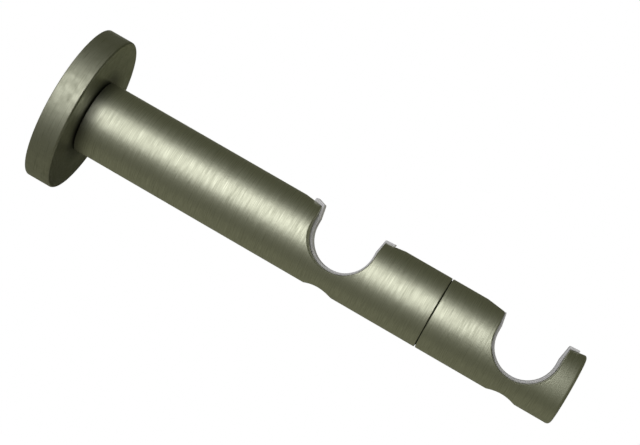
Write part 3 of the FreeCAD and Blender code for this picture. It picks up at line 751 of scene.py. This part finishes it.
def liner_section(pole_height, rear_lip):
    """Points (x, z) round the strip's section, with the pole's axis at the origin."""
    rise = LINER_SIDE - LINER_FLOOR
    mouth = POLE_R + FLARE
    low = MOUTH_HEIGHT + LINER_GAP - pole_height
    slope = RAMP_FALL / RAMP_LENGTH
    back = LINER_R + SLOT_FLARE
    tip = MOUTH_R + LIP_REACH
    half = LIP_THICKNESS / 2

    def lip_low(x):
        return low + (x - MOUTH_R) * slope

    front_end = arc(tip - half, lip_low(tip - half) + half, half, 270, 400, 8)
    corner_x, corner_z = mouth + LIP_CORNER, low + LIP_THICKNESS - LIP_CORNER
    front_end += arc(corner_x, corner_z, LIP_CORNER, 90, 165, 5)
    if rear_lip:
        crown = lip_low(tip) + LIP_THICKNESS + KNOB_HEIGHT
        knob_r = KNOB_LENGTH / 2
        rear_end = arc(-corner_x, corner_z, LIP_CORNER, 15, 90, 5)
        rear_end += arc(-tip + knob_r, crown - knob_r, knob_r, 75, 180, 8)
        rear_end.append((-tip, lip_low(tip) + KNOB_FOOT))
        rear_end.append((-tip + KNOB_FOOT, lip_low(tip - KNOB_FOOT)))
        rear_end.append((-back - 0.1, lip_low(back + 0.1)))
    else:
        rear_end = [(-mouth + 0.02, low - END_CORNER), (-mouth - END_CORNER, low),
                    (-back + END_CORNER, low), (-back, low - END_CORNER)]
    section = [*rear_end, (-LINER_R, FLARE_START)]
    section += arc(0.0, rise, LINER_R, 180, 360, BED_STEPS)
    section += [(LINER_R, FLARE_START), (back, low)]
    section += front_end
    section.append((POLE_R, FLARE_START))
    section += arc(0.0, 0.0, POLE_R, 360, 180, BED_STEPS)
    section.append((-POLE_R, FLARE_START))
    return section


def liner(name, node_name, reach, pole_height, rear_lip):
    """One plastic strip, with the hole that the locking screw passes through."""
    shape = bmesh.new()
    section = liner_section(pole_height, rear_lip)
    half_width = LINER_WIDTH / 2
    ring = [shape.verts.new((reach + x, -half_width, pole_height + z)) for x, z in section]
    face = shape.faces.new(ring)
    grown = bmesh.ops.extrude_face_region(shape, geom=[face])
    moved = [item for item in grown["geom"] if isinstance(item, bmesh.types.BMVert)]
    bmesh.ops.translate(shape, vec=(0, LINER_WIDTH, 0), verts=moved)
    sides = [edge for edge in shape.edges
             if abs(edge.verts[0].co.y - edge.verts[1].co.y) < 1e-6]
    bmesh.ops.bevel(shape, geom=sides, offset=LINER_EDGE, segments=2, profile=0.5,
                    affect="EDGES", material=-1, clamp_overlap=True)
    piece = mesh_object(name, shape)
    floor_hole = turned(name + "_hole", [
        (0.0, 0.0), (0.0, LINER_HOLE_R), (BAR_R, LINER_HOLE_R), (BAR_R, 0.0)],
        steps=LINER_HOLE_STEPS, place=drilled_at(reach))
    cut(piece, [floor_hole])
    finish_piece(piece, liner_grey, "liner_plastic", node_name)


liner("rear_strip", "rear_liner", REAR_POLE, REAR_POLE_HEIGHT, True)
liner("front_strip", "front_liner", FRONT_POLE, FRONT_POLE_HEIGHT, False)

# %% [markdown]
# ## Dress the frame
# Each carried-over node keeps its shape and gets the finish of its piece.

# %% Dress the frame
FINISHES = {
    "wall_plate": zinc,
    "rosette_grub_screw": screw_metal,
    "arm_screw": zinc,
    "joining_stud": screw_metal,
    "rear_lock_screw": screw_metal,
    "front_lock_screw": screw_metal,
}


def dress(node_name, material):
    """Puts a material in every slot of a carried-over node."""
    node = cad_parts[node_name]
    if not node.material_slots:
        node.data.materials.append(material)
    for slot in node.material_slots:
        slot.material = material


for node_name, material in FINISHES.items():
    dress(node_name, material)
print("dressed", len(FINISHES), "nodes")

# %% [markdown]
# ## Floor and world
# The photograph's ground is plain white. White that comes from lamps would also wash out the
# metal, so it comes from the background itself: for camera, glossy and transmission rays the
# world has a strength of 1, and for all other rays it gives a soft, weaker light. The floor lies
# well below the object, because the object hangs on a wall, and keeps its soft shadow.

# %% World
WORLD_LIGHT = 0.4


def seen_directly(tree):
    """1 for camera, glossy and transmission rays, 0 for all others."""
    path = add_node(tree, "ShaderNodeLightPath")
    first = maths(tree, "ADD", path.outputs["Is Camera Ray"], path.outputs["Is Glossy Ray"])
    return maths(tree, "ADD", first, path.outputs["Is Transmission Ray"], clamp=True)


world = bpy.data.worlds.new("studio")
bpy.context.scene.world = world
world.use_nodes = True
world_tree = world.node_tree
world_tree.nodes.clear()
strength = remap(world_tree, seen_directly(world_tree), 0.0, 1.0, WORLD_LIGHT, 1.0)
background = add_node(world_tree, "ShaderNodeBackground",
                      {"Color": (1.0, 1.0, 1.0, 1.0), "Strength": strength})
world_output = add_node(world_tree, "ShaderNodeOutputWorld")
world_tree.links.new(background.outputs[0], world_output.inputs["Surface"])
print("world light:", WORLD_LIGHT)

# %% Floor
FLOOR_DROP = 0.9
FLOOR_SIZE = 8.0
FLOOR_GLOW = 0.75


def flat_sheet(name, width, depth, location, facing):
    """A flat rectangle of the stage, with its front towards a direction."""
    shape = bmesh.new()
    bmesh.ops.create_grid(shape, x_segments=1, y_segments=1, size=0.5)
    bmesh.ops.scale(shape, vec=(width, depth, 1.0), verts=shape.verts)
    turn = Vector(facing).to_track_quat("Z", "Y").to_matrix().to_4x4()
    bmesh.ops.transform(shape, matrix=Matrix.Translation(location) @ turn, verts=shape.verts)
    mesh = bpy.data.meshes.new(name)
    shape.to_mesh(mesh)
    shape.free()
    sheet = bpy.data.objects.new(name, mesh)
    bpy.context.scene.collection.objects.link(sheet)
    return sheet


def floor_white(name):
    """A white floor that keeps its shadow, with a glow for the rays that show the ground."""
    material, tree, shader = new_material(name)
    shader.inputs["Base Color"].default_value = (0.8, 0.8, 0.8, 1.0)
    shader.inputs["Roughness"].default_value = 0.9
    shader.inputs["Emission Color"].default_value = (1.0, 1.0, 1.0, 1.0)
    glow = maths(tree, "MULTIPLY", seen_directly(tree), FLOOR_GLOW)
    tree.links.new(glow, shader.inputs["Emission Strength"])
    return material


floor = flat_sheet("floor", FLOOR_SIZE, FLOOR_SIZE, (0.1, 0.0, -FLOOR_DROP), (0, 0, 1))
floor.data.materials.append(floor_white("floor_white"))
print("floor at, mm:", -FLOOR_DROP / MM)

# %% [markdown]
# ## Light
# The highlight along the bar is broad and sits a little above its middle line, so the main lamp
# is a large softbox behind the camera, slightly raised. Brushed metal shows what stands round
# it, and in the photograph that was a dark room: the bar is darker above and below the
# highlight. Dark cards on every side do that here. Each has a faint even glow of its own, and only
# glossy rays see it, so the cards take no light from the scene and never show. Their olive tint
# gives the metal its shade, and the ones below the bar are more neutral. Two small lamps light
# nothing on the object but the plastic, because they are hidden from glossy rays: a cool one from
# the wall's side and a warm one from the tip's side.

# %% Softbox
def softbox(name, location, aim, width, height, radiance):
    """A rectangular area lamp. radiance is what a mirror would show of it."""
    data = bpy.data.lights.new(name, "AREA")
    data.shape = "RECTANGLE"
    data.size = width
    data.size_y = height
    data.energy = radiance * math.pi * width * height
    lamp = bpy.data.objects.new(name, data)
    bpy.context.scene.collection.objects.link(lamp)
    lamp.location = location
    lamp.rotation_mode = "QUATERNION"
    lamp.rotation_quaternion = (Vector(aim) - Vector(location)).to_track_quat("-Z", "Y")
    lamp.visible_camera = False
    print(name, "power, W:", round(data.energy, 2))
    return lamp


KEY_DISTANCE = 1.2
KEY_RISE = math.radians(15.2)
KEY_SIDE = -0.16
KEY_WIDTH = 1.0
KEY_HEIGHT = 1.26
KEY_RADIANCE = 1.92
key_place = AIM + Vector((KEY_SIDE, -math.cos(KEY_RISE), math.sin(KEY_RISE))) * KEY_DISTANCE
softbox("key_softbox", key_place, AIM, KEY_WIDTH, KEY_HEIGHT, KEY_RADIANCE)
BACK_PLACE = (-0.45, 0.80, 0.35)
BACK_WIDTH = 0.7
BACK_HEIGHT = 0.4
BACK_RADIANCE = 0.7
softbox("back_softbox", BACK_PLACE, AIM, BACK_WIDTH, BACK_HEIGHT, BACK_RADIANCE)

FILL_SIZE = 0.5
# name, place, tint, radiance
FILLS = [
    ("cool_fill", (-0.45, -0.25, 0.40), (0.86, 0.84, 1.0), 1.6),
    ("warm_fill", (0.65, -0.25, 0.30), (1.0, 0.97, 0.72), 0.9),
]
for fill_name, place, tint, radiance in FILLS:
    fill = softbox(fill_name, place, AIM, FILL_SIZE, FILL_SIZE, radiance)
    fill.data.color = tint
    fill.visible_glossy = False

# %% Dark cards
CARD_COLOUR = (0.185, 0.19, 0.12)
LOW_CARD_COLOUR = (0.19, 0.19, 0.14)


def card_material(name, share, colour):
    """An even glow with a share of a colour."""
    colour = tuple(share * channel for channel in colour) + (1.0,)
    material = bpy.data.materials.new(name)
    material.use_nodes = True
    tree = material.node_tree
    tree.nodes.clear()
    glow = add_node(tree, "ShaderNodeEmission", {"Color": colour, "Strength": 1.0})
    output = add_node(tree, "ShaderNodeOutputMaterial")
    tree.links.new(glow.outputs[0], output.inputs["Surface"])
    return material


def dark_card(name, share, width, depth, location, facing, colour):
    """A card that only glossy rays see."""
    card = flat_sheet(name, width, depth, location, facing)
    card.data.materials.append(card_material(name, share, colour))
    card.visible_camera = False
    card.visible_shadow = False
    card.visible_diffuse = False
    card.visible_transmission = False
    return card


# name, share of the colour, width, depth, place, facing, colour
DARK_CARDS = [
    ("card_above", 0.42, 1.6, 1.2, (0.10, 0.26, 0.30), (0, 0, -1), CARD_COLOUR),
    ("card_below", 1.0, 1.6, 0.95, (0.10, 0.425, -0.30), (0, 0, 1), LOW_CARD_COLOUR),
    ("card_below_front", 0.58, 1.6, 0.55, (0.10, -0.325, -0.30), (0, 0, 1), LOW_CARD_COLOUR),
    ("card_behind_high", 1.0, 2.4, 0.8, (0.35, 0.95, 0.4), (0, -1, 0), CARD_COLOUR),
    ("card_behind_low", 0.12, 2.4, 0.8, (0.35, 0.95, -0.4), (0, -1, 0), CARD_COLOUR),
    ("card_in_front", 0.67, 4.0, 2.6, (0.10, -1.40, 0.0), (0, 1, 0), CARD_COLOUR),
    ("card_low_front", 0.48, 2.0, 0.7, (0.10, -1.00, -0.55), (0, 1, 0), CARD_COLOUR),
    ("card_beyond_tip", 0.5, 1.2, 2.4, (0.75, -0.25, 0.0), (-1, 0, 0), CARD_COLOUR),
    ("card_at_wall", 0.6, 1.2, 2.4, (-0.75, -0.25, 0.0), (1, 0, 0), CARD_COLOUR),
    ("card_near_tip", 0.5, 0.24, 0.5, (0.281, -0.10, 0.0), (0, 1, 0), CARD_COLOUR),
]
for card_values in DARK_CARDS:
    dark_card(*card_values)
print("dark cards:", len(DARK_CARDS))

# %% View settings
bpy.context.scene.view_settings.view_transform = "Standard"
print("view transform:", bpy.context.scene.view_settings.view_transform)
